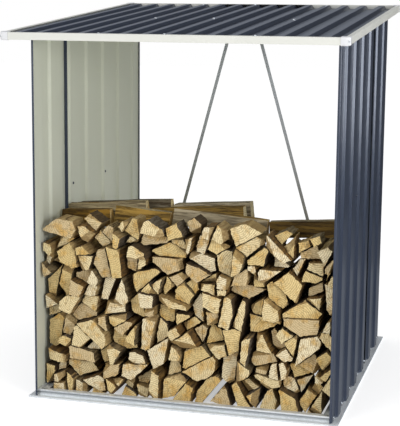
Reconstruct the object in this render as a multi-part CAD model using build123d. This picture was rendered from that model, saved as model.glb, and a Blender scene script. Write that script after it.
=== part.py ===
from build123d import *
import math
import os
import random

# Open log store: ribbed steel side walls on a galvanised base frame, under a lean-to roof, with firewood.

# ---- driving sizes, in millimetres; X across the front, Y towards the back, Z up ----
# The origin is on the ground, under the middle of the roof's outline.
wall_span = 1450.0           # outside to outside of the two side walls, over their ribs
wall_depth = 1550.0          # front edge to back edge of a side wall
front_overhang = 200.0       # roof edge in front of the side walls
rear_overhang = 20.0
side_overhang = 50.0
front_eave_height = 1722.0   # top of the roof edge at the front
rear_eave_height = 1855.0    # top of the roof edge at the back

sheet = 0.6                  # painted steel sheet of walls and roof
lap_clearance = 0.2          # air between two sheets that lap

wall_rib_pitch = 245.0
wall_rib_crown = 80.0
wall_rib_slope = 15.0
wall_rib_height = 12.0
first_wall_rib = 185.0       # middle of the first rib behind the front edge of the left wall
wall_lip = 12.0              # edge of a wall, folded towards the inside
lap_lip = 6.0                # front edge of the wide sheet, folded in the same way
narrow_panel_width = 545.0   # outer sheet at the front of the left wall
panel_lap = 114.0            # how far the wide sheet runs on under the narrow one

roof_rib_pitch = 99.0
roof_rib_crown = 28.0
roof_rib_slope = 11.0
roof_rib_height = 18.0
first_roof_rib = 61.0        # middle of the first rib from the roof sheet's left edge
ribs_per_roof_panel = 5

base_sheet = 1.2             # galvanised steel of the base frame and rails
base_lip_height = 8.0        # turned-down outer edge of the base rail
base_lip_out = 16.0          # how far that edge stands out from the walls
base_web_inset = 15.0        # upright face of the base rail, behind the wall's outside
base_height = 34.0
base_ledge_drop = 5.0
base_top_width = 12.0
base_ledge_width = 31.0
base_groove_depth = 3.0
base_groove_height = 4.0
base_foot_width = 20.0       # flange the rail stands on, turned back under the ledge

rail_leg = 30.0              # galvanised angle and channel along the top of the frame
rail_shelf = 24.0
rail_sheet = 1.2
rail_clearance = 0.5
mid_beam_from_front = 640.0  # purlin under the roof, measured from the walls' front edges

trim_height = 32.0           # plastic-coated white edge trim round the roof
trim_sheet = 1.2
trim_top_flange = 22.0
trim_bottom_flange = 9.0
trim_return = 6.0
trim_clearance = 0.1
cap_leg = 40.0               # moulded corner cap
cap_wall = 2.5
cap_radius = 20.0
cap_rim_chamfer = 3.5
cap_boss_radius = 9.0
cap_boss_height = 0.8
cap_boss_sink = 2.3          # how deep the round boss starts inside the corner's curve
cap_dimple_radius = 3.5
cap_clearance = 0.2

brace_leg = 18.0             # galvanised angle of the two back braces
brace_sheet = 1.5
brace_tops = (-134.0, -34.0)     # left and right brace where they meet the back top rail
brace_feet = (-611.0, 485.0)     # and where they stand on the back base rail

log_length = 480.0
log_length_spread = 12.0
short_log_length = 130.0     # top logs in front of the ones that lie crosswise
stack_from_front = 110.0     # front of the firewood behind the walls' front edges
stack_front_spread = 45.0    # how unevenly the log ends line up
log_pitch = 158.0            # round log before it is split
log_row_height = 142.0
log_rows = 7
heart_slip = 42.0            # how far the hearts of the round logs stray from a regular pattern
split_slip = 14.0            # how far from its heart a log is split
log_gap = 12.0               # air beside a log
seat_gap = 0.3               # air under a log
stack_side_gap = 12.0
quarter_share = 0.35         # part of the half logs that are split once more
least_chip = 0.08            # part of a log's width that its knocked-off corner takes
most_chip = 0.3
cross_log_shares = (         # logs that lie crosswise on the back of the stack, as shares of its width:
    (0.19, 0.21, 0.34, 0.26),     # the line in front, from left to right,
    (0.3, 0.35),                  # and the two behind it, which stop short of the right wall
    (0.37, 0.29),
)
cross_log_gap = 18.0
cross_log_height = 98.0
cross_log_drop = 75.0        # how far below the top of the stack the crosswise logs lie at least
cross_log_slope = 0.08       # most that they slope along their length
stack_seed = 7

# ---- places that follow from them ----
plan_depth = front_overhang + wall_depth + rear_overhang
wall_front = front_overhang - plan_depth / 2
wall_rear = wall_front + wall_depth
roof_slope = math.atan2(rear_eave_height - front_eave_height, plan_depth)
roof_middle_height = (front_eave_height + rear_eave_height - trim_height) / 2
roof_width = wall_span + 2 * side_overhang
roof_length = (plan_depth - trim_height * math.sin(roof_slope)) / math.cos(roof_slope)
roof_lap_rise = (sheet + lap_clearance) / math.cos(math.atan2(roof_rib_height, roof_rib_slope))
wall_lap_rise = (sheet + lap_clearance) / math.cos(math.atan2(wall_rib_height, wall_rib_slope))
roof_sheet_base = trim_height / 2 - trim_sheet - trim_clearance - sheet - roof_rib_height - roof_lap_rise
roof_frame = Pos(0, 0, roof_middle_height) * Rot(math.degrees(roof_slope), 0, 0)


def bent_sheet(skin, thickness):
    """Closed outline of a bent sheet. skin is one face of it, and the thickness goes to its left."""
    lefts = []
    for (ax, ay), (bx, by) in zip(skin, skin[1:]):
        length = math.hypot(bx - ax, by - ay)
        lefts.append(((ay - by) / length, (bx - ax) / length))
    back = []
    for (x, y), one, two in zip(skin, lefts[:1] + lefts, lefts + lefts[-1:]):
        share = thickness / (1 + one[0] * two[0] + one[1] * two[1])
        back.append((x + (one[0] + two[0]) * share, y + (one[1] + two[1]) * share))
    return make_face(Polyline(*skin, *reversed(back), close=True))


def rib_line(start, stop, first, pitch, crown, slope, height):
    """Points of a ribbed sheet's face from start to stop, with a rib in the middle of every pitch."""
    corners = []
    rib = first - pitch * math.ceil((first - start) / pitch + 1)
    while rib < stop + pitch:
        foot = crown / 2 + slope
        corners += [(rib - foot, 0), (rib - crown / 2, height), (rib + crown / 2, height), (rib + foot, 0)]
        rib += pitch

    def level(place):
        for (a, low), (b, high) in zip(corners, corners[1:]):
            if a <= place <= b:
                return low + (high - low) * (place - a) / (b - a)

    inner = [corner for corner in corners if start < corner[0] < stop]
    return [(start, level(start)), *inner, (stop, level(stop))]


# ---- base frame ----
def base_section():
    """Section of the base rail: distance outwards from the wall's outside, and height."""
    groove = (base_lip_height + base_height) / 2
    half = base_groove_height / 2
    chamfer = base_groove_depth
    web = -base_web_inset
    ledge = web - base_top_width
    heel = ledge - base_groove_depth - base_ledge_width
    ledge_height = base_height - base_ledge_drop
    skin = [
        (base_lip_out, 0),
        (base_lip_out, base_lip_height),
        (web, base_lip_height),
        (web, groove - half - chamfer),
        (web - base_groove_depth, groove - half),
        (web - base_groove_depth, groove + half),
        (web, groove + half + chamfer),
        (web, base_height),
        (ledge, base_height),
        (ledge - base_groove_depth, ledge_height),
        (heel, ledge_height),
        (heel, 0),
        (heel + base_foot_width, 0),
    ]
    return bent_sheet(skin, base_sheet)


def base_rail(length):
    """Rail along X with its outer edge towards -Y, mitred at both ends; Y = 0 is the wall's outside."""
    across = Plane(origin=(0, 0, 0), x_dir=(0, -1, 0), z_dir=(-1, 0, 0))
    rail = extrude(across * base_section(), length, both=True)
    half = length / 2
    rail = split(rail, Plane(origin=(half, 0, 0), z_dir=(1, 1, 0)), keep=Keep.BOTTOM)
    return split(rail, Plane(origin=(-half, 0, 0), z_dir=(-1, 1, 0)), keep=Keep.BOTTOM)


def base_rails():
    middle = (wall_front + wall_rear) / 2
    front = Pos(0, wall_front, 0) * base_rail(wall_span)
    rear = Pos(0, wall_rear, 0) * Rot(0, 0, 180) * base_rail(wall_span)
    left = Pos(-wall_span / 2, middle, 0) * Rot(0, 0, -90) * base_rail(wall_depth)
    right = Pos(wall_span / 2, middle, 0) * Rot(0, 0, 90) * base_rail(wall_depth)
    return {
        "base_rail_front": front,
        "base_rail_rear": rear,
        "base_rail_left": left,
        "base_rail_right": right,
    }


# ---- side walls ----
def wall_line(start, stop):
    return rib_line(
        start, stop, first_wall_rib, wall_rib_pitch, wall_rib_crown, wall_rib_slope, wall_rib_height
    )


def left_panel(skin, outset):
    """Upright sheet of the left wall. skin runs from front to back, with its ribs outwards."""
    valley = -wall_span / 2 + wall_rib_height + wall_lap_rise
    points = [(valley - outset - rise, wall_front + place) for place, rise in skin]
    return extrude(bent_sheet(list(reversed(points)), sheet), rear_eave_height)


def lap_lip_strip():
    """The space of the left wide sheet's folded lap edge, from the ground up to above the roof."""
    inside = -wall_span / 2 + wall_rib_height + wall_lap_rise + sheet
    place = wall_front + narrow_panel_width - panel_lap
    return Pos(inside + lap_lip / 2, place, 0) * Box(lap_lip, 4 * sheet, 3 * rear_eave_height)


def side_walls():
    rear_lip = (wall_depth, -wall_lip)
    front_lip = (0, -wall_lip)
    narrow = left_panel([front_lip, *wall_line(0, narrow_panel_width)], wall_lap_rise)
    lap = narrow_panel_width - panel_lap
    wide = left_panel([(lap, -lap_lip), *wall_line(lap, wall_depth), rear_lip], 0)
    half_turn = Pos(0, wall_front + wall_rear, 0) * Rot(0, 0, 180)
    panels = {
        "left_wall_front_panel": narrow,
        "left_wall_rear_panel": wide,
        "right_wall_front_panel": half_turn * wide,
        "right_wall_rear_panel": half_turn * narrow,
    }
    under_roof = roof_frame * Plane.XY.offset(roof_sheet_base - rail_clearance)
    under_rail = roof_frame * Plane.XY.offset(roof_sheet_base - rail_leg - 2 * rail_clearance)
    on_base = Plane.XY.offset(base_lip_height)
    over_base = Plane.XY.offset(base_height + rail_clearance)
    strip = lap_lip_strip()
    strips = {"left_wall_rear_panel": strip, "right_wall_front_panel": half_turn * strip}
    for name, panel in panels.items():
        panel = split(panel, under_roof, keep=Keep.BOTTOM)
        panel = split(panel, on_base, keep=Keep.TOP)
        if name in strips:
            panel -= split(strips[name], over_base, keep=Keep.BOTTOM)
            panel -= split(strips[name], under_rail, keep=Keep.TOP)
        panels[name] = panel
    return panels


# ---- rails under the roof, made with the roof level and then tilted ----
def rail_section(shelf_rise):
    """Angle: a leg hanging down from 0 and a shelf towards +X along its top, which rises by shelf_rise."""
    return bent_sheet([(0, -rail_leg), (0, 0), (rail_shelf, shelf_rise)], -rail_sheet)


def purlin_section():
    """Channel that stands on its web, its two flanges towards +X."""
    return bent_sheet([(rail_shelf, -rail_leg), (0, -rail_leg), (0, 0), (rail_shelf, 0)], -rail_sheet)


def lengthwise(section, length):
    """A section in X and Z drawn out along Y, with its middle at Y = 0."""
    return extrude(Plane.XZ * section, length / 2, both=True)


def crosswise(section, length):
    """The same section with its X turned to -Y and drawn out along X."""
    return Rot(0, 0, -90) * lengthwise(section, length)


def under_sheets(place):
    """Height of the roof sheets' underside at a place along Y, less the rails' clearance."""
    level = (roof_sheet_base - rail_clearance) / math.cos(roof_slope)
    return roof_middle_height + place * math.tan(roof_slope) + level


def roof_rails():
    """Side rails under the sheets, with the front and back rails and the purlin one thickness lower."""
    front = wall_front + base_web_inset
    rear = wall_rear - base_web_inset
    inside = wall_span / 2 - base_web_inset
    side = lengthwise(rail_section(0), (rear - front) / math.cos(roof_slope))
    middle = (front + rear) / 2
    left = Pos(-inside, middle, under_sheets(middle)) * Rot(math.degrees(roof_slope), 0, 0) * side
    step = rail_sheet + rail_clearance
    length = 2 * (inside - step)
    rise = rail_shelf * math.tan(roof_slope)
    front_rail = crosswise(rail_section(rise), length)
    rear_rail = crosswise(rail_section(-rise), length)
    purlin_place = wall_front + mid_beam_from_front
    purlin = Rot(math.degrees(roof_slope), 0, 0) * crosswise(purlin_section(), length)
    return {
        "top_rail_left": left,
        "top_rail_right": mirror(left, about=Plane.YZ),
        "top_rail_front": Pos(0, front, under_sheets(front) - step) * Rot(0, 0, 180) * front_rail,
        "top_rail_rear": Pos(0, rear, under_sheets(rear) - step) * rear_rail,
        "roof_purlin": Pos(0, purlin_place, under_sheets(purlin_place) - step) * purlin,
    }


# ---- roof sheets ----
def roof_panels():
    """Three ribbed sheets with laps of one rib; their outer corners are rounded to go into the caps."""
    inset = trim_sheet + trim_clearance
    first = inset + first_roof_rib - roof_width / 2
    foot = roof_rib_crown / 2 + roof_rib_slope
    panel_width = ribs_per_roof_panel * roof_rib_pitch
    left_lap = first + panel_width
    right_lap = left_lap + panel_width
    spans = {
        "roof_sheet_left": (-roof_width / 2, left_lap + foot, 0),
        "roof_sheet_middle": (left_lap - foot, right_lap + foot, roof_lap_rise),
        "roof_sheet_right": (right_lap - foot, roof_width / 2, 0),
    }
    plan = RectangleRounded(roof_width - 2 * inset, roof_length - 2 * inset, cap_radius - cap_wall)
    blank = extrude(plan, 2 * roof_rib_height, both=True)
    sheets = {}
    for name, (start, stop, step) in spans.items():
        skin = rib_line(start, stop, first, roof_rib_pitch, roof_rib_crown, roof_rib_slope, roof_rib_height)
        panel = lengthwise(bent_sheet(skin, sheet), roof_length) & blank
        sheets[name] = roof_frame * Pos(0, 0, roof_sheet_base + step) * panel
    return sheets


# ---- white trims and corner caps ----
def trim_section(top_flange):
    """Channel that closes the roof's edge: outside at X = 0, open towards -X."""
    half = trim_height / 2
    skin = [
        (-top_flange, half),
        (0, half),
        (0, -half),
        (-trim_bottom_flange, -half),
        (-trim_bottom_flange, -half + trim_return),
    ]
    return bent_sheet(skin if top_flange else skin[1:], -trim_sheet)


def roof_trims():
    stop = cap_leg - cap_wall
    side = lengthwise(trim_section(trim_top_flange), roof_length - 2 * stop)
    across = roof_width - 2 * stop
    front = Pos(0, -roof_length / 2, 0) * crosswise(trim_section(trim_top_flange), across)
    rear = Pos(0, -roof_length / 2, 0) * crosswise(trim_section(0), across)
    right = Pos(roof_width / 2, 0, 0) * side
    trims = {
        "roof_trim_front": front,
        "roof_trim_rear": Rot(0, 0, 180) * rear,
        "roof_trim_right": right,
        "roof_trim_left": mirror(right, about=Plane.YZ),
    }
    return {name: roof_frame * trim for name, trim in trims.items()}


def corner_block(reach, height, radius):
    """Square block with a round outer corner, standing out by reach from a corner at the origin."""
    block = Pos(reach - cap_leg / 2, cap_leg / 2 - reach, 0) * Box(cap_leg, cap_leg, height)
    corner = block.edges().filter_by(Axis.Z).sort_by(Axis.X)[-2:].sort_by(Axis.Y)[0]
    return fillet(corner, radius)


def corner_cap():
    """Cap on the front right corner: the corner is at the origin and the cap lies towards -X and +Y."""
    shell = corner_block(cap_wall, trim_height + 2 * cap_wall, cap_radius)
    rims = shell.edges().group_by(Axis.Z)
    bends = [edge for edge in rims[0] + rims[-1] if edge.geom_type == GeomType.CIRCLE]
    shell = chamfer(bends, cap_rim_chamfer)
    shell -= corner_block(0, trim_height + 2 * cap_clearance, cap_radius - cap_wall)
    reach = cap_wall - cap_radius + (cap_radius - cap_boss_sink) * math.sqrt(0.5)
    outwards = Plane(origin=(reach, -reach, 0), x_dir=(0, 0, 1), z_dir=(1, -1, 0))
    boss = extrude(outwards * Circle(cap_boss_radius), cap_boss_sink + cap_boss_height)
    dimple = extrude(outwards.offset(cap_boss_sink) * Circle(cap_dimple_radius), 2 * cap_boss_height)
    return shell + boss - dimple


def corner_caps():
    front_right = Pos(roof_width / 2, -roof_length / 2, 0) * corner_cap()
    front_left = mirror(front_right, about=Plane.YZ)
    caps = {
        "corner_cap_front_right": front_right,
        "corner_cap_front_left": front_left,
        "corner_cap_rear_right": mirror(front_right, about=Plane.XZ),
        "corner_cap_rear_left": mirror(front_left, about=Plane.XZ),
    }
    return {name: roof_frame * cap for name, cap in caps.items()}


# ---- back braces ----
def back_braces():
    """Angles on the outside of the back rails: one leg flat on them, the other standing out backwards."""
    braces = {}
    face = wall_rear - base_web_inset + rail_clearance
    foot = base_lip_height + brace_leg / 2
    top = under_sheets(wall_rear - base_web_inset) - rail_leg / 2
    for name, top_x, foot_x in zip(("back_brace_left", "back_brace_right"), brace_tops, brace_feet):
        run = Vector(top_x - foot_x, 0, top - foot)
        half = brace_leg / 2
        angle = bent_sheet([(0, -half), (0, half), (brace_leg, half)], -brace_sheet)
        along = Plane(origin=(foot_x, face, foot), x_dir=(0, 1, 0), z_dir=run.normalized())
        braces[name] = extrude(along * angle, run.length)
    return braces


# ---- firewood ----
def cut(outline, point, normal):
    """The part of a convex outline behind the line through point, across normal."""
    kept = []
    for a, b in zip(outline, outline[1:] + outline[:1]):
        depth_a = (a[0] - point[0]) * normal[0] + (a[1] - point[1]) * normal[1]
        depth_b = (b[0] - point[0]) * normal[0] + (b[1] - point[1]) * normal[1]
        if depth_a <= 0:
            kept.append(a)
        if depth_a * depth_b < 0:
            share = depth_a / (depth_a - depth_b)
            kept.append((a[0] + (b[0] - a[0]) * share, a[1] + (b[1] - a[1]) * share))
    return kept


def round_log(heart, hearts, reach, top):
    """What a log fills between its neighbours, the ground and the walls, up to half a gap from each."""
    outline = [(-reach, 0), (reach, 0), (reach, top), (-reach, top)]
    for other in hearts:
        away = (other[0] - heart[0], other[1] - heart[1])
        distance = math.hypot(*away)
        if 0 < distance < 4 * log_pitch:
            normal = (away[0] / distance, away[1] / distance)
            half = (distance - log_gap) / 2
            outline = cut(outline, (heart[0] + normal[0] * half, heart[1] + normal[1] * half), normal)
    return outline


def middle_of(outline):
    return tuple(sum(values) / len(outline) for values in zip(*outline))


def split_log(outline, turn, slip):
    """The two halves of a log, split at slip from its middle."""
    middle = middle_of(outline)
    across = (math.cos(turn), math.sin(turn))
    halves = []
    for side in (-1, 1):
        place = slip - side * log_gap / 2
        point = (middle[0] + across[0] * place, middle[1] + across[1] * place)
        halves.append(cut(outline, point, (across[0] * side, across[1] * side)))
    return halves


def chip(outline, turn, share):
    """Takes a corner off a log: the outermost share of its width in the direction turn."""
    normal = (math.cos(turn), math.sin(turn))
    reaches = [x * normal[0] + y * normal[1] for x, y in outline]
    depth = max(reaches) - share * (max(reaches) - min(reaches))
    return cut(outline, (normal[0] * depth, normal[1] * depth), normal)


def span_at(outline, place):
    """Lowest and highest point of a convex outline on the upright line at a place along X."""
    heights = []
    for (ax, az), (bx, bz) in zip(outline, outline[1:] + outline[:1]):
        if min(ax, bx) <= place <= max(ax, bx) and ax != bx:
            heights.append(az + (bz - az) * (place - ax) / (bx - ax))
    return min(heights), max(heights)


def free_fall(outline, others):
    """How far a log can sink before it sits on the ground or on another log."""
    fall = min(z for x, z in outline)
    for other in others:
        start = max(min(x for x, z in outline), min(x for x, z in other))
        stop = min(max(x for x, z in outline), max(x for x, z in other))
        if other is outline or stop - start < seat_gap:
            continue
        middle = (start + stop) / 2
        if span_at(outline, middle)[0] < span_at(other, middle)[1]:
            continue
        places = [start, stop] + [x for x, z in outline + other if start < x < stop]
        room = min(span_at(outline, place)[0] - span_at(other, place)[1] for place in places)
        fall = min(fall, room - seat_gap)
    return fall


def settle(outlines, inner):
    """Lets the logs sink on to the ground, the side rails' ledges and each other until none moves."""
    outlines = sorted(outlines, key=lambda outline: middle_of(outline)[1])
    outer = wall_span / 2
    ledges = [
        [(side * inner, 0), (side * outer, 0), (side * outer, base_height), (side * inner, base_height)]
        for side in (-1, 1)
    ]
    moved = True
    while moved:
        moved = False
        for number, outline in enumerate(outlines):
            fall = free_fall(outline, outlines + ledges)
            if fall > seat_gap:
                outlines[number] = [(x, z - fall) for x, z in outline]
                moved = True
    return outlines


def log_outlines(chance, half, ledge):
    """Cross-sections of the split logs: round logs packed in rows, split in two or four and chipped."""
    per_row = round(2 * half / log_pitch)
    pitch = 2 * half / per_row
    hearts = []
    for row in range(log_rows + 1):
        for place in range(per_row + row % 2):
            x = -half + (place + (row + 1) % 2 / 2) * pitch + chance.uniform(-heart_slip, heart_slip)
            z = (row + 0.5) * log_row_height + chance.uniform(-heart_slip, heart_slip)
            hearts.append((x, z, row))
    outlines = []
    for heart in hearts:
        if heart[2] == log_rows:
            continue
        reach = half if heart[2] else ledge - stack_side_gap
        whole = round_log(heart, hearts, reach, (log_rows + 1) * log_row_height)
        turn = chance.uniform(0, math.pi)
        for piece in split_log(whole, turn, chance.uniform(-split_slip, split_slip)):
            quarters = [piece]
            if chance.random() < quarter_share:
                quarters = split_log(piece, turn + math.pi / 2, chance.uniform(-split_slip, split_slip))
            for split in quarters:
                share = chance.uniform(least_chip, most_chip)
                outlines.append(chip(split, chance.uniform(0, 2 * math.pi), share))
    return outlines


def log_along(plane, outline, start, length):
    """Log with its ends square to a plane, from start onwards."""
    face = make_face(Polyline(*outline, close=True))
    return extrude(plane.offset(start) * face, length)


def seat_line(outlines, start, stop):
    """Height at start, and slope, of the line on which a crosswise log lies from start to stop."""
    tops = [(x, z) for outline in outlines for x, z in outline if start < x < stop]
    for outline in outlines:
        reach = [x for x, z in outline]
        under = [place for place in (start, stop) if min(reach) < place < max(reach)]
        tops += [(place, span_at(outline, place)[1]) for place in under]
    middle = (start + stop) / 2
    slopes = {}
    for left, left_top in tops:
        for right, right_top in tops:
            if left < middle < right:
                slope = (right_top - left_top) / (right - left)
                slopes[left_top + slope * (middle - left)] = slope
    slope = max(-cross_log_slope, min(cross_log_slope, slopes[max(slopes)]))
    return max(z - slope * (x - start) for x, z in tops), slope


def cross_log(chance, start, stop, back, width, outlines):
    """Four-sided log along X on the logs below, flat side down, with its back edge at a place along Y."""
    seat, slope = seat_line(outlines, start, stop)
    height = cross_log_height * chance.uniform(0.75, 1)
    near = width * chance.uniform(0.1, 0.3)
    far = width * chance.uniform(0.1, 0.3)
    outline = [(0, 0), (width, 0), (width - far, height), (near, height)]
    along = Plane(origin=(start, back, seat + seat_gap), x_dir=(0, 1, 0), z_dir=(1, 0, slope))
    return log_along(along, outline, 0, stop - start)


def firewood():
    chance = random.Random(stack_seed)
    reach = wall_span / 2 - wall_rib_height - stack_side_gap
    ledge = wall_span / 2 - base_web_inset - base_top_width - base_groove_depth - base_ledge_width
    outlines = settle(log_outlines(chance, reach, ledge), ledge)
    front = wall_front + stack_from_front
    top = max(z for outline in outlines for x, z in outline)
    low = [outline for outline in outlines if max(z for x, z in outline) < top - cross_log_drop]
    nodes = {}
    for outline in outlines:
        row = min(log_rows, 1 + int(middle_of(outline)[1] * log_rows / top))
        start = front + chance.uniform(-stack_front_spread, stack_front_spread)
        length = log_length if outline in low else short_log_length
        length += chance.uniform(-log_length_spread, log_length_spread)
        log = log_along(Plane.XZ, outline, -start - length, length)
        nodes.setdefault(f"firewood_row_{row}", []).append(log)
    first = front + stack_front_spread + short_log_length + log_length_spread + log_gap
    width = (front + log_length - first) / len(cross_log_shares)
    for line, shares in enumerate(cross_log_shares):
        stop = cross_log_gap / 2 - reach
        for share in shares:
            start = stop
            stop += 2 * reach * share
            log = cross_log(chance, start, stop - cross_log_gap, first + line * width, width - log_gap, low)
            nodes.setdefault("firewood_cross_logs", []).append(log)
    return {name: Compound(children=logs) for name, logs in nodes.items()}


parts = {
    **base_rails(),
    **side_walls(),
    **roof_rails(),
    **roof_panels(),
    **roof_trims(),
    **corner_caps(),
    **back_braces(),
    **firewood(),
}
os.makedirs("parts", exist_ok=True)
for name, piece in parts.items():
    export_step(piece, f"parts/{name}.step")
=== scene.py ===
import math
import random

import bmesh
import bpy
from mathutils import Matrix, Vector, noise


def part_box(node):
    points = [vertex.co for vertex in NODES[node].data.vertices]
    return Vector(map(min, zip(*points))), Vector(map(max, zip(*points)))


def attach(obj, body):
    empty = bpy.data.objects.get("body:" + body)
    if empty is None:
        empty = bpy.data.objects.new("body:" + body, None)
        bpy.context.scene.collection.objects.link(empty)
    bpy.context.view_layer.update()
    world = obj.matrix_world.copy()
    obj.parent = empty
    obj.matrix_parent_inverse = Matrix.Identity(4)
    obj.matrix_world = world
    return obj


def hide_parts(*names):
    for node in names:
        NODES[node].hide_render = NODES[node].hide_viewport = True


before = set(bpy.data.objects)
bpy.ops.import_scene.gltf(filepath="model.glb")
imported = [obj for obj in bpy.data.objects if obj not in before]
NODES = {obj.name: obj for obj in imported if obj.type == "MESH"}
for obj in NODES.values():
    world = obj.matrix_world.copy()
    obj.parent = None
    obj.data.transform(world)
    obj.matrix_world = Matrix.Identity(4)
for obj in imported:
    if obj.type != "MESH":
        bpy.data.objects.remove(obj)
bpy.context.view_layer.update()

# Open steel log store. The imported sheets, rails, trims and caps get their finishes and the radii of their
# folds and mouldings, bolts are added, and split logs with sawn ends stand in for the plain ones.
# Everything is in metres: X across the front, Y to the back, Z up.

MM = 0.001

# ---- camera ----
CAMERA_PLACE = (1.555, -6.004, 1.851)
CAMERA_YAW = 15.37       # degrees to the left of straight back
CAMERA_PITCH = 9.48      # degrees down
CAMERA_ROLL = 0.52
CAMERA_LENS = 105.6      # mm, on a 36 mm long side


def place_camera():
    bpy.ops.object.camera_add(location=CAMERA_PLACE)
    camera = bpy.context.object
    camera.name = "camera"
    yaw = Matrix.Rotation(math.radians(CAMERA_YAW), 3, "Z")
    pitch = Matrix.Rotation(math.radians(90 - CAMERA_PITCH), 3, "X")
    roll = Matrix.Rotation(math.radians(CAMERA_ROLL), 3, "Z")
    camera.rotation_mode = "QUATERNION"
    camera.rotation_quaternion = (yaw @ pitch @ roll).to_quaternion()
    camera.data.lens = CAMERA_LENS
    bpy.context.scene.camera = camera


place_camera()

# ---- materials ----
NOISE = "ShaderNodeTexNoise"
CELLS = "ShaderNodeTexVoronoi"
RANGE = "ShaderNodeMapRange"
MIX = "ShaderNodeMix"
MATH = "ShaderNodeMath"
VECTOR = "ShaderNodeVectorMath"
PLACE = "ShaderNodeTexCoord"
GEOMETRY = "ShaderNodeNewGeometry"
SPLIT = "ShaderNodeSeparateXYZ"
ATTRIBUTE = "ShaderNodeAttribute"
BUMP = "ShaderNodeBump"
FINISH = "ShaderNodeBsdfPrincipled"
OUTPUT = "ShaderNodeOutputMaterial"
SHARE, FIRST, SECOND = 0, 6, 7                  # the Mix node's inputs when it mixes colours
COLOURS = {"output": 2, "data_type": "RGBA"}    # what the Mix node needs for that


def linear(code):
    """Linear RGBA of an sRGB hex colour."""
    shares = [int(code[start:start + 2], 16) / 255 for start in (1, 3, 5)]
    return [s / 12.92 if s <= 0.04045 else ((s + 0.055) / 1.055) ** 2.4 for s in shares] + [1.0]


def per(size):
    """Scale of a pattern whose features are size millimetres apart."""
    return 1 / (size * MM)


def add(tree, kind, inputs=None, output=0, **settings):
    """Adds a node with its settings. An input takes a value, or another node's output, which is linked."""
    node = tree.nodes.new(kind)
    for name, value in settings.items():
        setattr(node, name, value)
    for socket, value in (inputs or {}).items():
        if isinstance(value, bpy.types.NodeSocket):
            tree.links.new(value, node.inputs[socket])
        else:
            node.inputs[socket].default_value = value
    return node.outputs[output] if node.outputs else None


def new_material(name):
    material = bpy.data.materials.new(name)
    material.use_nodes = True
    material.node_tree.nodes.clear()
    return material, material.node_tree


# Coil-coated steel sheet: polyester paint rolled on before the ribs are formed. Anthracite on the weather
# side, a thin grey-green backing coat inside. A satin gloss, with a faint cloud in the colour and a fine
# orange peel.
def coated_sheet(name, inside):
    material, tree = new_material(name)
    place = add(tree, PLACE, output="Object")
    normal = add(tree, GEOMETRY, output="True Normal")
    facing = add(tree, VECTOR, {0: normal, 1: inside}, "Value", operation="DOT_PRODUCT")
    is_inside = add(tree, RANGE, {"Value": facing, "From Min": 0.25, "From Max": 0.3})
    cloud = add(tree, NOISE, {"Vector": place, "Scale": per(400), "Detail": 3})
    outer = add(tree, MIX, {SHARE: cloud, FIRST: linear("#333B4D"), SECOND: linear("#394254")}, **COLOURS)
    inner = add(tree, MIX, {SHARE: cloud, FIRST: linear("#DDE0D0"), SECOND: linear("#E4E7D8")}, **COLOURS)
    colour = add(tree, MIX, {SHARE: is_inside, FIRST: outer, SECOND: inner}, **COLOURS)
    roughness = add(tree, RANGE, {"Value": is_inside, "To Min": 0.3, "To Max": 0.42})
    peel = add(tree, NOISE, {"Vector": place, "Scale": per(7), "Detail": 2})
    bump = add(tree, BUMP, {"Strength": 0.06, "Distance": 0.2 * MM, "Height": peel})
    shader = add(tree, FINISH, {"Base Color": colour, "Roughness": roughness, "IOR": 1.5, "Normal": bump})
    add(tree, OUTPUT, {"Surface": shader})
    return material


# Hot-dip galvanised steel: zinc crystals about 9 mm across, each reflecting a little differently, under a
# whitish bloom of oxide that turns the mirror of the metal into a dull silver grey. A darker band at the
# height of the base rails' groove is painted shade, and the faces that look up are paler and less metallic,
# as pale dust and as painted light.
# Height and reach of the painted shade at the base rails' groove
GROOVE_HEIGHT = 21 * MM
GROOVE_REACH = 5.5 * MM


def galvanised_steel():
    material, tree = new_material("hot_dip_galvanised_steel")
    place = add(tree, PLACE, output="Object")
    crystals = add(tree, CELLS, {"Vector": place, "Scale": per(9)}, "Color")
    crystal = add(tree, "ShaderNodeSeparateColor", {"Color": crystals})
    bloom = add(tree, NOISE, {"Vector": place, "Scale": per(60), "Detail": 5})
    share = add(tree, RANGE, {"Value": crystal, "To Min": 0.2, "To Max": 0.8})
    colour = add(tree, MIX, {SHARE: share, FIRST: linear("#CED4D9"), SECOND: linear("#E6EAEE")}, **COLOURS)

    # Painted shade: a darker band at the height of the base rails' groove.
    height = add(tree, SPLIT, {"Vector": place}, "Z")
    painted_groove_shade = add(tree, MATH, {0: height, 1: GROOVE_HEIGHT, 2: GROOVE_REACH}, operation="COMPARE")
    groove_shade_share = add(tree, MATH, {0: painted_groove_shade, 1: 0.62}, operation="MULTIPLY")
    colour = add(tree, MIX, {SHARE: groove_shade_share, FIRST: colour, SECOND: linear("#5A636B")}, **COLOURS)

    # Pale dust and painted light: faces that look up are made paler and less metallic.
    normal = add(tree, GEOMETRY, output="True Normal")
    upward = add(tree, SPLIT, {"Vector": normal}, "Z")
    dust_and_painted_light = add(tree, RANGE, {"Value": upward, "From Min": 0.5, "From Max": 0.9, "To Max": 0.4})
    colour = add(tree, MIX, {SHARE: dust_and_painted_light, FIRST: colour, SECOND: linear("#DADCDA")}, **COLOURS)

    thin_bloom = {"Value": bloom, "From Min": 0.3, "From Max": 0.7, "To Min": 0.75, "To Max": 0.45}
    bare = add(tree, RANGE, thin_bloom)
    metallic = add(tree, MATH, {0: bare, 1: dust_and_painted_light}, operation="SUBTRACT", use_clamp=True)
    roughness = add(tree, RANGE, {"Value": crystal, "To Min": 0.3, "To Max": 0.45})
    shader = add(tree, FINISH, {"Base Color": colour, "Metallic": metallic, "Roughness": roughness})
    add(tree, OUTPUT, {"Surface": shader})
    return material


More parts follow.
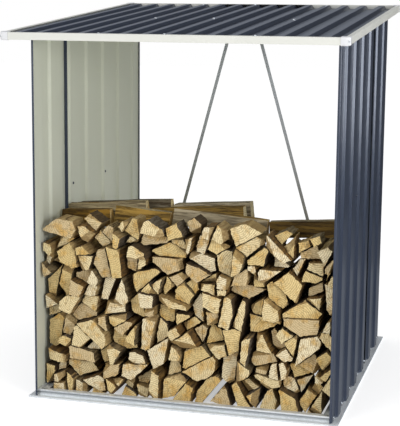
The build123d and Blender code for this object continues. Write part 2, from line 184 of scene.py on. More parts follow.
# Edge trim of steel strip with an off-white polyester coat: satin, and faintly uneven in gloss.
def white_trim():
    material, tree = new_material("off_white_coated_trim")
    place = add(tree, PLACE, output="Object")
    cloud = add(tree, NOISE, {"Vector": place, "Scale": per(150), "Detail": 3})
    colour = add(tree, MIX, {SHARE: cloud, FIRST: linear("#DEDFD7"), SECOND: linear("#E6E6DF")}, **COLOURS)
    roughness = add(tree, RANGE, {"Value": cloud, "To Min": 0.34, "To Max": 0.46})
    peel = add(tree, NOISE, {"Vector": place, "Scale": per(5), "Detail": 2})
    bump = add(tree, BUMP, {"Strength": 0.05, "Distance": 0.2 * MM, "Height": peel})
    shader = add(tree, FINISH, {"Base Color": colour, "Roughness": roughness, "IOR": 1.5, "Normal": bump})
    add(tree, OUTPUT, {"Surface": shader})
    return material


# Injection-moulded ABS: a cooler and brighter white than the trim, glossier, with a fine spark-eroded
# grain.
def white_plastic():
    material, tree = new_material("moulded_white_abs")
    place = add(tree, PLACE, output="Object")
    cloud = add(tree, NOISE, {"Vector": place, "Scale": per(40), "Detail": 2})
    colour = add(tree, MIX, {SHARE: cloud, FIRST: linear("#E2E3E6"), SECOND: linear("#E8E9EB")}, **COLOURS)
    grain = add(tree, NOISE, {"Vector": place, "Scale": per(1.5), "Detail": 2})
    roughness = add(tree, RANGE, {"Value": grain, "To Min": 0.26, "To Max": 0.36})
    bump = add(tree, BUMP, {"Strength": 0.08, "Distance": 0.1 * MM, "Height": grain})
    shader = add(tree, FINISH, {"Base Color": colour, "Roughness": roughness, "IOR": 1.53, "Normal": bump})
    add(tree, OUTPUT, {"Surface": shader})
    return material


# Bright zinc plating on the braces and the unpainted bolts: clear-passivated and fine-grained. It is a
# thin, even coat that mirrors its surroundings softly, so it looks a plain mid grey, darker than the
# galvanised rails.
def zinc_plating():
    material, tree = new_material("bright_zinc_plated_steel")
    place = add(tree, PLACE, output="Object")
    grain = add(tree, NOISE, {"Vector": place, "Scale": per(2), "Detail": 3})
    colour = add(tree, MIX, {SHARE: grain, FIRST: linear("#A6ABB0"), SECOND: linear("#C2C6CA")}, **COLOURS)
    gloss = {"Value": grain, "From Min": 0.3, "From Max": 0.7, "To Min": 0.3, "To Max": 0.45}
    roughness = add(tree, RANGE, gloss)
    shader = add(tree, FINISH, {"Base Color": colour, "Metallic": 1.0, "Roughness": roughness})
    add(tree, OUTPUT, {"Surface": shader})
    return material


# Powder coat on the bolts half way up the walls, in the sheets' anthracite: satin, with a fine orange peel.
def painted_steel():
    material, tree = new_material("powder_coated_steel")
    place = add(tree, PLACE, output="Object")
    peel = add(tree, NOISE, {"Vector": place, "Scale": per(2), "Detail": 2})
    colour = add(tree, MIX, {SHARE: peel, FIRST: linear("#2E3545"), SECOND: linear("#373F50")}, **COLOURS)
    roughness = add(tree, RANGE, {"Value": peel, "To Min": 0.35, "To Max": 0.5})
    bump = add(tree, BUMP, {"Strength": 0.1, "Distance": 0.1 * MM, "Height": peel})
    shader = add(tree, FINISH, {"Base Color": colour, "Roughness": roughness, "IOR": 1.5, "Normal": bump})
    add(tree, OUTPUT, {"Surface": shader})
    return material


def place_on_log(tree, stretch):
    """Object coordinates drawn out along the fibres, and shifted from log to log, so no two look alike."""
    place = add(tree, PLACE, output="Object")
    number = add(tree, ATTRIBUTE, output="Fac", attribute_name="log_number")
    shift = add(tree, VECTOR, {0: (3, 5, 7), "Scale": number}, operation="SCALE")
    shifted = add(tree, VECTOR, {0: place, 1: shift}, operation="ADD")
    return add(tree, VECTOR, {0: shifted, 1: stretch}, operation="MULTIPLY")


# Sawn end of air-dried hardwood: pale, rough and dry. Growth rings round the heart, drawn 9 mm apart so
# that they show, orange heartwood in patches, saw marks painted darker in the hollows of the end's relief as
# painted shade, and short drying cracks.
RING_WIDTH = 9           # mm
RING_WANDER = 14         # radians of a ring's phase, so that no ring is a true circle


def sawn_end(label, across):
    material, tree = new_material(f"sawn_end_grain_{label}")
    place = place_on_log(tree, (1, 1, 1))
    pale = add(tree, ATTRIBUTE, attribute_name="wood_colour")
    blotch = add(tree, NOISE, {"Vector": place, "Scale": per(50), "Detail": 3})
    share = add(tree, RANGE, {"Value": blotch, "From Min": 0.5, "From Max": 0.7, "To Max": 0.8})
    colour = add(tree, MIX, {SHARE: share, FIRST: pale, SECOND: linear("#E0B15A")}, **COLOURS)

    here = add(tree, PLACE, output="Object")
    heart = add(tree, ATTRIBUTE, output="Vector", attribute_name="heart")
    away = add(tree, VECTOR, {0: here, 1: heart}, operation="SUBTRACT")
    away = add(tree, VECTOR, {0: away, 1: across}, operation="MULTIPLY")
    distance = add(tree, VECTOR, {0: away}, "Value", operation="LENGTH")
    wander = add(tree, MATH, {0: blotch, 1: RING_WANDER}, operation="MULTIPLY")
    per_metre = 2 * math.pi * per(RING_WIDTH)
    phase = add(tree, MATH, {0: distance, 1: per_metre, 2: wander}, operation="MULTIPLY_ADD")
    ring = add(tree, MATH, {0: phase}, operation="SINE")
    share = add(tree, RANGE, {"Value": ring, "From Min": -0.2, "From Max": 1, "To Max": 0.55})
    colour = add(tree, MIX, {SHARE: share, FIRST: colour, SECOND: linear("#AC8A50")}, **COLOURS)

    fibre = add(tree, NOISE, {"Vector": place, "Scale": per(7), "Detail": 5, "Roughness": 0.8})
    # Saw marks, painted darker where the end's relief is low, as painted shade.
    saw_marks_and_shade = add(tree, RANGE, {"Value": fibre, "From Min": 0.36, "From Max": 0.5, "To Min": 0.72, "To Max": 0})
    colour = add(tree, MIX, {SHARE: saw_marks_and_shade, FIRST: colour, SECOND: linear("#8C7348")}, **COLOURS)

    stretched = place_on_log(tree, (1.6, 1, 0.5))
    edge = add(tree, CELLS, {"Vector": stretched, "Scale": per(30)}, feature="DISTANCE_TO_EDGE")
    crack = add(tree, RANGE, {"Value": edge, "From Max": 0.05, "To Min": 0.5, "To Max": 0})
    broken = add(tree, RANGE, {"Value": blotch, "From Min": 0.45, "From Max": 0.55})
    crack = add(tree, MATH, {0: crack, 1: broken}, operation="MULTIPLY")
    colour = add(tree, MIX, {SHARE: crack, FIRST: colour, SECOND: linear("#54402A")}, **COLOURS)

    relief = add(tree, MATH, {0: fibre, 1: crack}, operation="SUBTRACT")
    bump = add(tree, BUMP, {"Strength": 0.9, "Distance": 2 * MM, "Height": relief})
    shader = add(tree, FINISH, {"Base Color": colour, "Roughness": 0.88, "IOR": 1.45, "Normal": bump})
    add(tree, OUTPUT, {"Surface": shader})
    return material


# Split side of a log: long torn fibres along the grain, with darker lines in the hollows of their relief,
# which are painted shade.
def split_side(name, stretch, fibre_width, dark):
    material, tree = new_material(name)
    place = place_on_log(tree, stretch)
    wood = add(tree, ATTRIBUTE, attribute_name="wood_colour")
    band = add(tree, NOISE, {"Vector": place, "Scale": per(22), "Detail": 3})
    bands = add(tree, RANGE, {"Value": band, "From Min": 0.38, "From Max": 0.62, "To Min": 0.6, "To Max": 0})
    colour = add(tree, MIX, {SHARE: bands, FIRST: wood, SECOND: linear(dark)}, **COLOURS)
    fibre = add(tree, NOISE, {"Vector": place, "Scale": per(fibre_width), "Detail": 5, "Roughness": 0.75})
    # Painted shade: darker where the fibres' relief is low.
    painted_fibre_shade = {"Value": fibre, "From Min": 0.42, "From Max": 0.54, "To Min": 0.85, "To Max": 0}
    fibre_hollow_shade = add(tree, RANGE, painted_fibre_shade)
    colour = add(tree, MIX, {SHARE: fibre_hollow_shade, FIRST: colour, SECOND: linear(dark)}, **COLOURS)
    bump = add(tree, BUMP, {"Strength": 1.0, "Distance": 3 * MM, "Height": fibre})
    shader = add(tree, FINISH, {"Base Color": colour, "Roughness": 0.9, "IOR": 1.45, "Normal": bump})
    add(tree, OUTPUT, {"Surface": shader})
    return material


GALVANISED = galvanised_steel()
ZINC = zinc_plating()
PAINTED = painted_steel()
FINISHES = {
    "left_wall": coated_sheet("coil_coated_sheet_left_wall", (1, 0, 0)),
    "right_wall": coated_sheet("coil_coated_sheet_right_wall", (-1, 0, 0)),
    "roof_sheet": coated_sheet("coil_coated_sheet_roof", (0, 0, -1)),
    "roof_trim": white_trim(),
    "corner_cap": white_plastic(),
    "base_rail": GALVANISED,
    "top_rail": GALVANISED,
    "roof_purlin": GALVANISED,
    "back_brace": ZINC,
}
for node, body in NODES.items():
    for start, finish in FINISHES.items():
        if node.startswith(start):
            body.data.materials.clear()
            body.data.materials.append(finish)


# ---- modelling helpers ----
def select_only(*objects):
    bpy.ops.object.select_all(action="DESELECT")
    for item in objects:
        item.select_set(True)
    bpy.context.view_layer.objects.active = objects[0]


def pick(piece, kind, wanted):
    """Selects the wanted vertices, edges or faces of a piece, and nothing else. It is left in edit mode."""
    bpy.ops.object.mode_set(mode="EDIT")
    bpy.ops.mesh.select_mode(type=kind)
    bpy.ops.mesh.select_all(action="DESELECT")
    bpy.ops.object.mode_set(mode="OBJECT")
    parts = {"VERT": piece.data.vertices, "EDGE": piece.data.edges, "FACE": piece.data.polygons}
    for part in parts[kind]:
        part.select = wanted(part)
    bpy.ops.object.mode_set(mode="EDIT")


def merged_copy(node, name):
    """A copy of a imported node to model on, with its triangles joined up and its flat faces whole."""
    piece = NODES[node].copy()
    piece.data = NODES[node].data.copy()
    piece.name = name
    piece.parent = None
    for key in list(piece.keys()):
        del piece[key]
    bpy.context.scene.collection.objects.link(piece)
    select_only(piece)
    bpy.ops.object.mode_set(mode="EDIT")
    bpy.ops.mesh.select_all(action="SELECT")
    bpy.ops.mesh.remove_doubles(threshold=0.02 * MM)
    bpy.ops.mesh.dissolve_limited(angle_limit=math.radians(1))
    bpy.ops.object.mode_set(mode="OBJECT")
    return piece


def stand_in(piece, node):
    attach(piece, "root")
    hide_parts(node)


# ---- sheet metal ----
# Sheets, rails and trims are bent in rolls or on a brake, so every fold has a small radius that catches a
# thin line of light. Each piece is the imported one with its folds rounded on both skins.
WALL_BEND = 4.5 * MM
ROOF_BEND = 4.0 * MM
RAIL_BEND = 1.2 * MM
TRIM_BEND = 1.0 * MM
LEAST_FOLD = math.radians(15)
LEAST_FACE = 1.6         # a fold is rounded where both its faces are wider than this many radii
LAP_GAP = 6.0 * MM       # the free edge of a wall's outer lap springs off the sheet under it by this much,
LAP_STRIP = 22.0 * MM    # in a strip this wide


def face_width(face):
    longest = max(edge.calc_length() for edge in face.edges)
    return face.calc_area() / longest


def spring_lap(piece, place, out):
    """Bends the last strip of a lapped sheet away from the sheet under it, which leaves a thin dark gap."""
    select_only(piece)
    bpy.ops.object.mode_set(mode="EDIT")
    bpy.ops.mesh.select_all(action="SELECT")
    strip_start = place + math.copysign(LAP_STRIP, place)
    bpy.ops.mesh.bisect(plane_co=(0, strip_start, 0), plane_no=(0, 1, 0))
    pick(piece, "VERT", lambda vertex: abs(vertex.co.y - place) < 1 * MM)
    bpy.ops.transform.translate(value=(out, 0, 0))
    bpy.ops.mesh.select_all(action="DESELECT")
    bpy.ops.object.mode_set(mode="OBJECT")


def round_folds(node, name, radius):
    """Rounds the long edges between two wide faces, and leaves the cut edges of the sheet sharp."""
    piece = merged_copy(node, name)
    if node == "left_wall_front_panel":
        spring_lap(piece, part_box(node)[1].y, -LAP_GAP)
    if node == "right_wall_rear_panel":
        spring_lap(piece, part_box(node)[0].y, LAP_GAP)
    bpy.ops.object.mode_set(mode="EDIT")
    bpy.ops.mesh.select_mode(type="EDGE")
    bpy.ops.mesh.select_all(action="DESELECT")
    mesh = bmesh.from_edit_mesh(piece.data)
    for edge in mesh.edges:
        if len(edge.link_faces) == 2 and edge.calc_face_angle(0) > LEAST_FOLD:
            edge.select = min(face_width(face) for face in edge.link_faces) > LEAST_FACE * radius
    bmesh.update_edit_mesh(piece.data)
    bpy.ops.mesh.bevel(offset=radius, offset_type="OFFSET", segments=3, affect="EDGES", clamp_overlap=True)
    bpy.ops.mesh.select_mode(type="VERT")
    bpy.ops.object.mode_set(mode="OBJECT")
    bpy.ops.object.shade_smooth_by_angle(angle=math.radians(28))
    flats = piece.modifiers.new("true_flats", "WEIGHTED_NORMAL")
    flats.keep_sharp = True
    bpy.ops.object.modifier_apply(modifier=flats.name)
    stand_in(piece, node)


def bend_metal():
    for node in sorted(NODES):
        name = f"bent_{node}"
        if "_wall_" in node:
            round_folds(node, name, WALL_BEND)
        elif node.startswith("roof_sheet"):
            round_folds(node, name, ROOF_BEND)
        elif node.startswith(("base_rail", "top_rail", "roof_purlin", "back_brace")):
            round_folds(node, name, RAIL_BEND)
        elif node.startswith("roof_trim"):
            round_folds(node, name, TRIM_BEND)


bend_metal()

# ---- moulded corner caps ----
CAPS = [node for node in sorted(NODES) if node.startswith("corner_cap")]
MOULD_RADIUS = 1.4 * MM


def mould_caps():
    """Caps with the small radii of a mould along their rims and round the boss."""
    for node in CAPS:
        piece = merged_copy(node, f"moulded_{node}")
        bevel = piece.modifiers.new("mould_radius", "BEVEL")
        bevel.width = MOULD_RADIUS
        bevel.segments = 3
        bevel.angle_limit = math.radians(40)
        bpy.ops.object.modifier_apply(modifier=bevel.name)
        bpy.ops.object.shade_smooth_by_angle(angle=math.radians(35))
        stand_in(piece, node)


mould_caps()

# ---- bolts ----
# A bolt has a button head with a socket, on a washer.
WASHER_RADIUS = 7.5 * MM
WASHER_HEIGHT = 1.4 * MM
WASHER_RIM = 0.5 * MM
HEAD_RADIUS = 5.0 * MM
HEAD_HEIGHT = 3.4 * MM
HEAD_RIM = 1.9 * MM
SOCKET_WALL = 0.9 * MM
SOCKET_DEPTH = 1.5 * MM
BRACE_BOLT_SCALE = 0.8
CAP_SCREW_SCALE = 0.45

# Where they sit. Places along the walls are the left wall's. The right wall is the left one turned half
# round.
ROOF_BOLT_CROWNS = (-0.3168, -0.0197, 0.3763)
LEFT_FLATS = (-0.62, -0.3775, -0.1325, 0.1125, 0.3575, 0.6025, 0.8225)
LEFT_LAP_PLACES = (-0.17, 0.305)    # through the sheets' lap, and about two ribs further back
LAP_BOLT_HEIGHT = 0.959
WALL_MIDDLE = 0.09
WALL_RIB = 12 * MM
WALL_SHEET = 0.6 * MM
BASE_BOLT_HEIGHT = 21 * MM
TOP_BOLT_DEPTH = 7 * MM      # under the top rail's upper edge
BRACE_BOLT_SIDE = 9 * MM     # from a brace's side and from its end
BRACE_BOLT_END = 16 * MM
BRACE_BOLT_SEAT = 1.2 * MM   # from a brace's front face back to its washers, which are let in a little
CAP_BOSS_IN = 5.9 * MM

FRONT_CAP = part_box("corner_cap_front_left")[1]
REAR_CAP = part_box("corner_cap_rear_left")[1]
ROOF_RISE = (REAR_CAP.z - FRONT_CAP.z) / (REAR_CAP.y - FRONT_CAP.y)
ROOF_UP = Vector((0, -ROOF_RISE, 1)).normalized()


def disc(radius, low, high, sides, rim, segments):
    """A turned disc with a rounded upper rim, left in edit mode with its top face selected."""
    bpy.ops.object.select_all(action="DESELECT")
    height = high - low
    middle = (low + high) / 2
    bpy.ops.mesh.primitive_cylinder_add(vertices=sides, radius=radius, depth=height, location=(0, 0, middle))
    bpy.ops.object.transform_apply(location=True, rotation=True, scale=True)
    piece = bpy.context.object
    heights = [vertex.co.z for vertex in piece.data.vertices]
    pick(piece, "EDGE", lambda edge: all(heights[index] > middle for index in edge.vertices))
    bpy.ops.mesh.bevel(offset=rim, segments=segments, affect="EDGES")
    pick(piece, "FACE", lambda face: face.normal.z > 0.99)
    return piece


def model_bolt():
    """One bolt to copy. It stands on the origin and points up."""
    washer = disc(WASHER_RADIUS, 0, WASHER_HEIGHT, 20, WASHER_RIM, 1)
    bpy.ops.object.mode_set(mode="OBJECT")
    head = disc(HEAD_RADIUS, WASHER_HEIGHT * 0.8, WASHER_HEIGHT + HEAD_HEIGHT, 18, HEAD_RIM, 3)
    bpy.ops.mesh.inset(thickness=SOCKET_WALL)
    bpy.ops.transform.translate(value=(0, 0, -SOCKET_DEPTH))
    bpy.ops.object.mode_set(mode="OBJECT")
    select_only(head, washer)
    bpy.ops.object.join()
    bpy.ops.object.shade_smooth_by_angle(angle=math.radians(40))
    return head


def fit_bolts(name, spots, scale=1.0, finish=ZINC):
    """Copies of the bolt, each on its spot: a place on the surface and the way its head points."""
    bolts = []
    for place, way in spots:
        bolt = BOLT.copy()
        bolt.data = BOLT.data.copy()
        bpy.context.scene.collection.objects.link(bolt)
        turn = Vector(way).to_track_quat("Z", "Y").to_matrix().to_4x4()
        bolt.data.transform(Matrix.Translation(place) @ turn @ Matrix.Scale(scale, 4))
        bolts.append(bolt)
    select_only(*bolts)
    bpy.ops.object.join()
    piece = bpy.context.object
    piece.name = name
    piece.data.materials.append(finish)
    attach(piece, "root")


def roof_spots():
    """On the crowns of some ribs: over the front trim's flange, the purlin and the rear rail."""
    under = [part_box(node) for node in ("roof_trim_front", "roof_purlin", "top_rail_rear")]
    rows = [(low.y + high.y) / 2 for low, high in under]
    flange = under[0][1]
    middle_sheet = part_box("roof_sheet_middle")
    spots = []
    for crown in ROOF_BOLT_CROWNS:
        on_middle_sheet = middle_sheet[0].x < crown < middle_sheet[1].x
        sheet = middle_sheet[1] if on_middle_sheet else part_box("roof_sheet_left")[1]
        for y in rows:
            top = flange if y == rows[0] else sheet
            spots.append(((crown, y, top.z - ROOF_RISE * (top.y - y)), ROOF_UP))
    return spots


def wall_flat(side):
    """X of the flats between the ribs of a wall, on the weather side."""
    return side * (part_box("right_wall_rear_panel")[1].x - WALL_RIB)


def wall_spots(side, flats):
    """On the flats between the ribs, into the base rail and the top rail."""
    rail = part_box("top_rail_left")[1]
    spots = []
    for y in flats:
        under_roof = rail.z - TOP_BOLT_DEPTH - ROOF_RISE * (rail.y - y)
        for z in (BASE_BOLT_HEIGHT, under_roof):
            spots.append(((wall_flat(side), y, z), (side, 0, 0)))
    return spots


def lap_spots(side, places):
    """Half way up, through the sheets' lap and about two ribs away from it. Both skins show a head."""
    spots = []
    for y in places:
        spots.append(((wall_flat(side), y, LAP_BOLT_HEIGHT), (side, 0, 0)))
        spots.append(((wall_flat(side) - side * WALL_SHEET, y, LAP_BOLT_HEIGHT), (-side, 0, 0)))
    return spots


def brace_spots():
    """Through both ends of each brace, from behind."""
    spots = []
    for node in ("back_brace_left", "back_brace_right"):
        low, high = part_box(node)
        foot, head = low.x + BRACE_BOLT_SIDE, high.x - BRACE_BOLT_SIDE
        if node == "back_brace_right":
            foot, head = head, foot
        for x, z in ((foot, low.z + BRACE_BOLT_END), (head, high.z - BRACE_BOLT_END)):
            spots.append(((x, low.y + BRACE_BOLT_SEAT, z), (0, 1, 0)))
    return spots


def cap_spots():
    """In the round boss on the corner of each cap."""
    spots = []
    for node in CAPS:
        low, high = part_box(node)
        side, end = math.copysign(1, low.x), math.copysign(1, low.y)
        x = side * (max(abs(low.x), abs(high.x)) - CAP_BOSS_IN)
        y = end * (max(abs(low.y), abs(high.y)) - CAP_BOSS_IN)
        z = (low.z + high.z) / 2 + end * ROOF_RISE * (high.y - low.y) / 2
        spots.append(((x, y, z), (side, end, 0)))
    return spots


def turned_round(places):
    """Places along the right wall that match those along the left one."""
    return [2 * WALL_MIDDLE - y for y in places]


BOLT = model_bolt()
fit_bolts("roof_bolts", roof_spots())
fit_bolts("left_wall_bolts", wall_spots(-1, LEFT_FLATS))
fit_bolts("right_wall_bolts", wall_spots(1, turned_round(LEFT_FLATS)))
fit_bolts("left_lap_bolts", lap_spots(-1, LEFT_LAP_PLACES), 1.0, PAINTED)
fit_bolts("right_lap_bolts", lap_spots(1, turned_round(LEFT_LAP_PLACES)), 1.0, PAINTED)
fit_bolts("brace_bolts", brace_spots(), BRACE_BOLT_SCALE)
fit_bolts("corner_cap_screws", cap_spots(), CAP_SCREW_SCALE)
bpy.data.objects.remove(BOLT)

# ---- logs ----
# A log is the imported solid with its front end sawn a little aslant or chipped, and its sides torn along the
# fibres. Its end is pale, and its sides are freshly split, or weathered and painted darker as painted shade.
ALONG_X, ALONG_Y = 0, 1  # the two ways that logs lie: crosswise on the back of the stack, and in the rows
SAWN_COLOURS = ("#EEDBAB", "#F7EAC6", "#E5CC90", "#DBC69B", "#EFD69A", "#F5E3B3")
# Weathered sides are coloured darker than weathering alone, as painted shade on the logs' sides.
WEATHERED_AND_SHADED_COLOURS = {
    ALONG_X: ("#9A7426", "#B08C42", "#8D836E", "#7A5E26"),
    ALONG_Y: ("#96713A", "#6A5432", "#57452E", "#7B7061", "#94825E", "#A07C3E"),
}
FRESH_COLOURS = {
    ALONG_X: ("#CBBC9C", "#BBAD90", "#B5A88D", "#C6B48C"),
    ALONG_Y: ("#CDB27A", "#D8C08C", "#B79C66", "#C0A878"),
}
SAWN, WEATHERED_AND_SHADED, FRESH = 0, 1, 2    # a log's finishes, in the order of its material slots
CHIP_SHARE = 0.55        # of the logs have a corner split off their front end,
CHIP_LEAN = (35, 60)     # this many degrees aslant
CHIP_DEPTH = (8, 26)     # and this deep, in mm
SAW_LEAN = (1, 9)        # degrees
SAW_DEPTH = 3            # mm
SAWN_FACING = 0.95       # how much a face looks along the log: a sawn end more than this,
SIDE_FACING = 0.35       # a side less than this
FRESH_FACING = 0.45      # a log's sides that face within about 60 degrees of one way are freshly split
HEART_AWAY = (50, 120)   # mm from the middle of a split log to the heart of its tree
FIBRE_CUTS = 7
FIBRE_STRETCH = 1 / 12   # torn fibres are this much finer across than along
FIBRE_SCALE = 70         # per metre
FIBRE_CONTRAST = 1.6
FIBRE_RELIEF = 2.4 * MM  # half the depth of the torn fibres


def cut_end(log, normal, depth):
    """Cuts the log in edit mode along a plane, so many mm under its furthest corner, and closes the cut."""
    corner = max((vertex.co for vertex in log.data.vertices), key=lambda co: co.dot(normal))
    cut = corner - normal * depth * MM
    bpy.ops.mesh.select_all(action="SELECT")
    bpy.ops.mesh.bisect(plane_co=cut, plane_no=normal, use_fill=True, clear_outer=True)
    bpy.ops.object.mode_set(mode="OBJECT")
    bpy.ops.object.mode_set(mode="EDIT")


def tilted(chance, axis, degrees):
    """The way the log's front end faces, tilted by some degrees to a random side."""
    normal = Vector((0, 0, 0))
    normal[axis] = -1
    turn = chance.uniform(0, 2 * math.pi)
    lean = math.tan(math.radians(degrees))
    normal[1 - axis] = lean * math.cos(turn)
    normal[2] = lean * math.sin(turn)
    return normal.normalized()


def shape_log(log, chance, axis):
    """Splits a corner off some front ends, saws all a little aslant, and tears the sides along the fibres."""
    select_only(log)
    bpy.ops.object.mode_set(mode="EDIT")
    if chance.random() < CHIP_SHARE:
        normal = tilted(chance, axis, chance.uniform(*CHIP_LEAN))
        cut_end(log, normal, chance.uniform(*CHIP_DEPTH))
    cut_end(log, tilted(chance, axis, chance.uniform(*SAW_LEAN)), SAW_DEPTH)
    pick(log, "FACE", lambda face: abs(face.normal[axis]) < SIDE_FACING)
    bpy.ops.mesh.subdivide(number_cuts=FIBRE_CUTS)
    bpy.ops.object.mode_set(mode="OBJECT")
    tear_sides(log, chance, axis)
    mark_faces(log, chance, axis)


def tear_sides(log, chance, axis):
    """Moves the sides in by noise that is drawn out along the fibres."""
    mesh = log.data
    outward = [Vector((0, 0, 0)) for vertex in mesh.vertices]
    for face in mesh.polygons:
        if abs(face.normal[axis]) < SIDE_FACING:
            for index in face.vertices:
                outward[index] += face.normal
    start = Vector((chance.random(), chance.random(), chance.random())) * 20
    for vertex, normal in zip(mesh.vertices, outward):
        if normal.length == 0:
            continue
        normal[axis] = 0
        spot = vertex.co * FIBRE_SCALE
        spot[axis] *= FIBRE_STRETCH
        torn = FIBRE_CONTRAST * noise.fractal(spot + start, 0.7, 2.0, 3)
        depth = FIBRE_RELIEF * (1 + max(-1, min(1, torn)))
        vertex.co -= normal.normalized() * depth


def mark_faces(log, chance, axis):
    """Gives each face its finish, its colour, the log's number and the place of the tree's heart."""
    mesh = log.data
    turn = chance.uniform(0, 2 * math.pi)
    fresh_way = Vector((0, 0, math.sin(turn)))
    fresh_way[1 - axis] = math.cos(turn)
    middle = sum((vertex.co for vertex in mesh.vertices), Vector()) / len(mesh.vertices)
    heart = middle + fresh_way * chance.uniform(*HEART_AWAY) * MM
    sawn = linear(chance.choice(SAWN_COLOURS))
    fresh = linear(chance.choice(FRESH_COLOURS[axis]))
    weathered_and_shaded = linear(chance.choice(WEATHERED_AND_SHADED_COLOURS[axis]))
    finishes = []
    colours = []
    for face in mesh.polygons:
        facing = abs(face.normal[axis])
        if facing > SAWN_FACING:
            finishes.append(SAWN)
            colours += sawn
        elif facing > SIDE_FACING or face.normal.dot(fresh_way) > FRESH_FACING:
            finishes.append(FRESH)
            colours += fresh
        else:
            finishes.append(WEATHERED_AND_SHADED)
            colours += weathered_and_shaded
    mesh.polygons.foreach_set("material_index", finishes)
    count = len(mesh.polygons)
    mesh.attributes.new("wood_colour", "FLOAT_COLOR", "FACE").data.foreach_set("color", colours)
    mesh.attributes.new("log_number", "FLOAT", "FACE").data.foreach_set("value", [chance.random()] * count)
    mesh.attributes.new("heart", "FLOAT_VECTOR", "FACE").data.foreach_set("vector", list(heart) * count)


def first_corner(log):
    """Where a log starts, by which the logs of a row are put in order."""
    return [round(value, 4) for value in log.data.vertices[0].co]


def split_logs(node, name, woods, axis):
    """A row of logs, each shaped by itself and then joined. The node's name seeds what is random in it."""
    chance = random.Random(node)
    merged_copy(node, name)
    bpy.ops.mesh.separate(type="LOOSE")
    logs = sorted(bpy.context.selected_objects, key=first_corner)
    for log in logs:
        log.data.materials.clear()
        for wood in woods:
            log.data.materials.append(wood)
        shape_log(log, chance, axis)
    select_only(*logs)
    bpy.ops.object.join()
    piece = bpy.context.object
    piece.name = name
    stand_in(piece, node)


def wood_finishes(label, across, stretch, fibre_width, old_and_shaded_dark, fresh_dark):
    return (
        sawn_end(label, across),
        split_side(f"weathered_and_shaded_split_wood_{label}", stretch, fibre_width, old_and_shaded_dark),
        split_side(f"fresh_split_wood_{label}", stretch, fibre_width, fresh_dark),
    )


# The darkest tone of the weathered sides is partly painted shade.
LENGTHWISE = wood_finishes("lengthwise", (1, 0, 1), (1, FIBRE_STRETCH, 1), 9, "#3C2D17", "#8E7145")
CROSSWISE = wood_finishes("crosswise", (0, 1, 1), (FIBRE_STRETCH, 1, 1), 15, "#33240A", "#5A4E38")
for node in sorted(NODES):
    if node.startswith("firewood_row"):
        split_logs(node, node.replace("firewood", "split_logs"), LENGTHWISE, ALONG_Y)
split_logs("firewood_cross_logs", "split_logs_crosswise", CROSSWISE, ALONG_X)


# ---- studio ----
def aim(item, at):
    item.rotation_mode = "QUATERNION"
    item.rotation_quaternion = (Vector(at) - item.location).to_track_quat("-Z", "Y")


def softbox(name, place, at, size, power):
    bpy.ops.object.light_add(type="AREA", location=place)
    lamp = bpy.context.object
    lamp.name = name
    lamp.data.size = size
    lamp.data.energy = power
    lamp.visible_camera = False
    aim(lamp, at)


def card(name, place, at, size, strength, colour=(1, 1, 1, 1)):
    """A board that is seen only in gloss. It lights nothing and casts no shadow."""
    bpy.ops.object.select_all(action="DESELECT")
    bpy.ops.mesh.primitive_plane_add(size=1, location=place)
    board = bpy.context.object
    board.name = name
    board.scale = (size[0], size[1], 1)
    aim(board, at)
    board.visible_camera = False
    board.visible_diffuse = False
    board.visible_transmission = False
    board.visible_shadow = False
    material, tree = new_material(name)
    glow = add(tree, "ShaderNodeEmission", {"Color": colour, "Strength": strength})
    add(tree, OUTPUT, {"Surface": glow})
    board.data.materials.append(material)


def shown(tree):
    """1 where the camera, a reflection or a see-through surface looks, 0 where only light is gathered."""
    kinds = ("Is Camera Ray", "Is Glossy Ray", "Is Transmission Ray")
    rays = [add(tree, "ShaderNodeLightPath", output=kind) for kind in kinds]
    seen = add(tree, MATH, {0: rays[0], 1: rays[1]}, operation="MAXIMUM")
    return add(tree, MATH, {0: seen, 1: rays[2]}, operation="MAXIMUM")


def floor_and_sky():
    bpy.ops.object.select_all(action="DESELECT")
    bpy.ops.mesh.primitive_plane_add(size=60, location=(0, 0, 0))
    floor = bpy.context.object
    floor.name = "floor"
    material, tree = new_material("pale_studio_floor")
    glow = add(tree, MATH, {0: shown(tree), 1: 0.5}, operation="MULTIPLY")
    shader = add(tree, FINISH, {
        "Base Color": linear("#F0F0F0"), "Roughness": 0.9, "Specular IOR Level": 0.0,
        "Emission Color": (1, 1, 1, 1), "Emission Strength": glow})
    add(tree, OUTPUT, {"Surface": shader})
    floor.data.materials.append(material)

    world = bpy.data.worlds.new("studio")
    bpy.context.scene.world = world
    world.use_nodes = True
    tree = world.node_tree
    tree.nodes.clear()
    strength = add(tree, RANGE, {"Value": shown(tree), "To Min": 0.62, "To Max": 1.0})
    sky = add(tree, "ShaderNodeBackground", {"Color": (1, 1, 1, 1), "Strength": strength})
    add(tree, "ShaderNodeOutputWorld", {"Surface": sky})


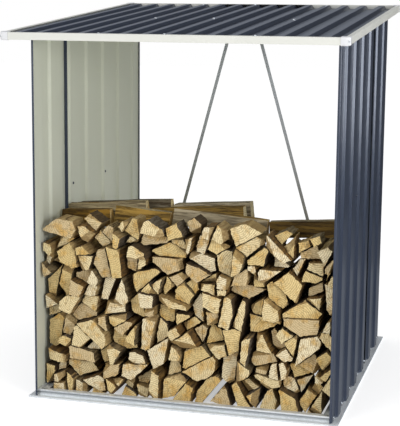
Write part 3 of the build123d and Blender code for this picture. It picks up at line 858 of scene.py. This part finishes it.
# Gloss in painted sheet shows what stands round it. Behind and beside the store the cards are mostly dark,
# as an unlit room is: they keep the flats and the roof's slopes deep. A bright card beside the right wall
# draws the light stripes on its ribs, and a middling one behind lightens the crowns of the roof. The cards
# on the floor are mirrored low in the walls, in the sill and in the braces.
COOL = (0.85, 0.91, 1.0, 1.0)
FLOOR_STRIPS = (         # on the floor outside the right wall: start and stop along Y, width and strength
    (-0.9, 1.2, 0.6, 0.34),
    (1.2, 2.8, 5.3, 0.3),
    (2.8, 4.6, 5.3, 0.12),
    (4.6, 12, 5.3, 0.035),
)
WALL_FOOT = 0.7          # X at which these strips start
CARD_LIFT = 2 * MM


def cards():
    card("wall_stripe_card", (3.0, 0.45, 1.7), (0.7, 0.45, 1.7), (1.6, 1.35), 9, COOL)
    card("sill_dark_card", (-0.35, -0.95, CARD_LIFT), (-0.35, -0.95, 1), (0.9, 0.4), 0.05)
    card("low_dark_card", (8.5, 9.0, 1.6), (0, 0, 1.6), (16.0, 3.2), 0)
    card("back_dark_card", (-7.85, 12.0, 7.0), (-7.85, 0, 7.0), (16.3, 14.0), 0.4, COOL)
    card("right_back_dark_card", (5.3, 12.0, 7.0), (5.3, 0, 7.0), (10.0, 14.0), 0.05)
    card("right_dark_card", (3.0, 0.45, 0.51), (0.7, 0.45, 0.51), (3.2, 1.0), 0.02)
    card("floor_dark_card_right", (2.15, 0.15, CARD_LIFT), (2.15, 0.15, 1), (1.7, 2.1), 0.02)
    for start, stop, width, strength in FLOOR_STRIPS:
        x = WALL_FOOT + width / 2
        y = (start + stop) / 2
        size = (width, stop - start)
        card(f"floor_dark_card_from_{start}", (x, y, CARD_LIFT), (x, y, 1), size, strength, COOL)
    card("floor_dark_card_front", (0, -14, 3 * MM), (0, -14, 1), (30, 22), 0.15)


floor_and_sky()
softbox("key_softbox", (-2.4, -5.8, 3.0), (-0.1, 0, 0.9), 2.5, 82)
softbox("side_softbox", (4.3, -4.2, 1.8), (-0.7, 0.2, 1.1), 1.5, 100)
cards()
bpy.context.scene.view_settings.view_transform = "Standard"
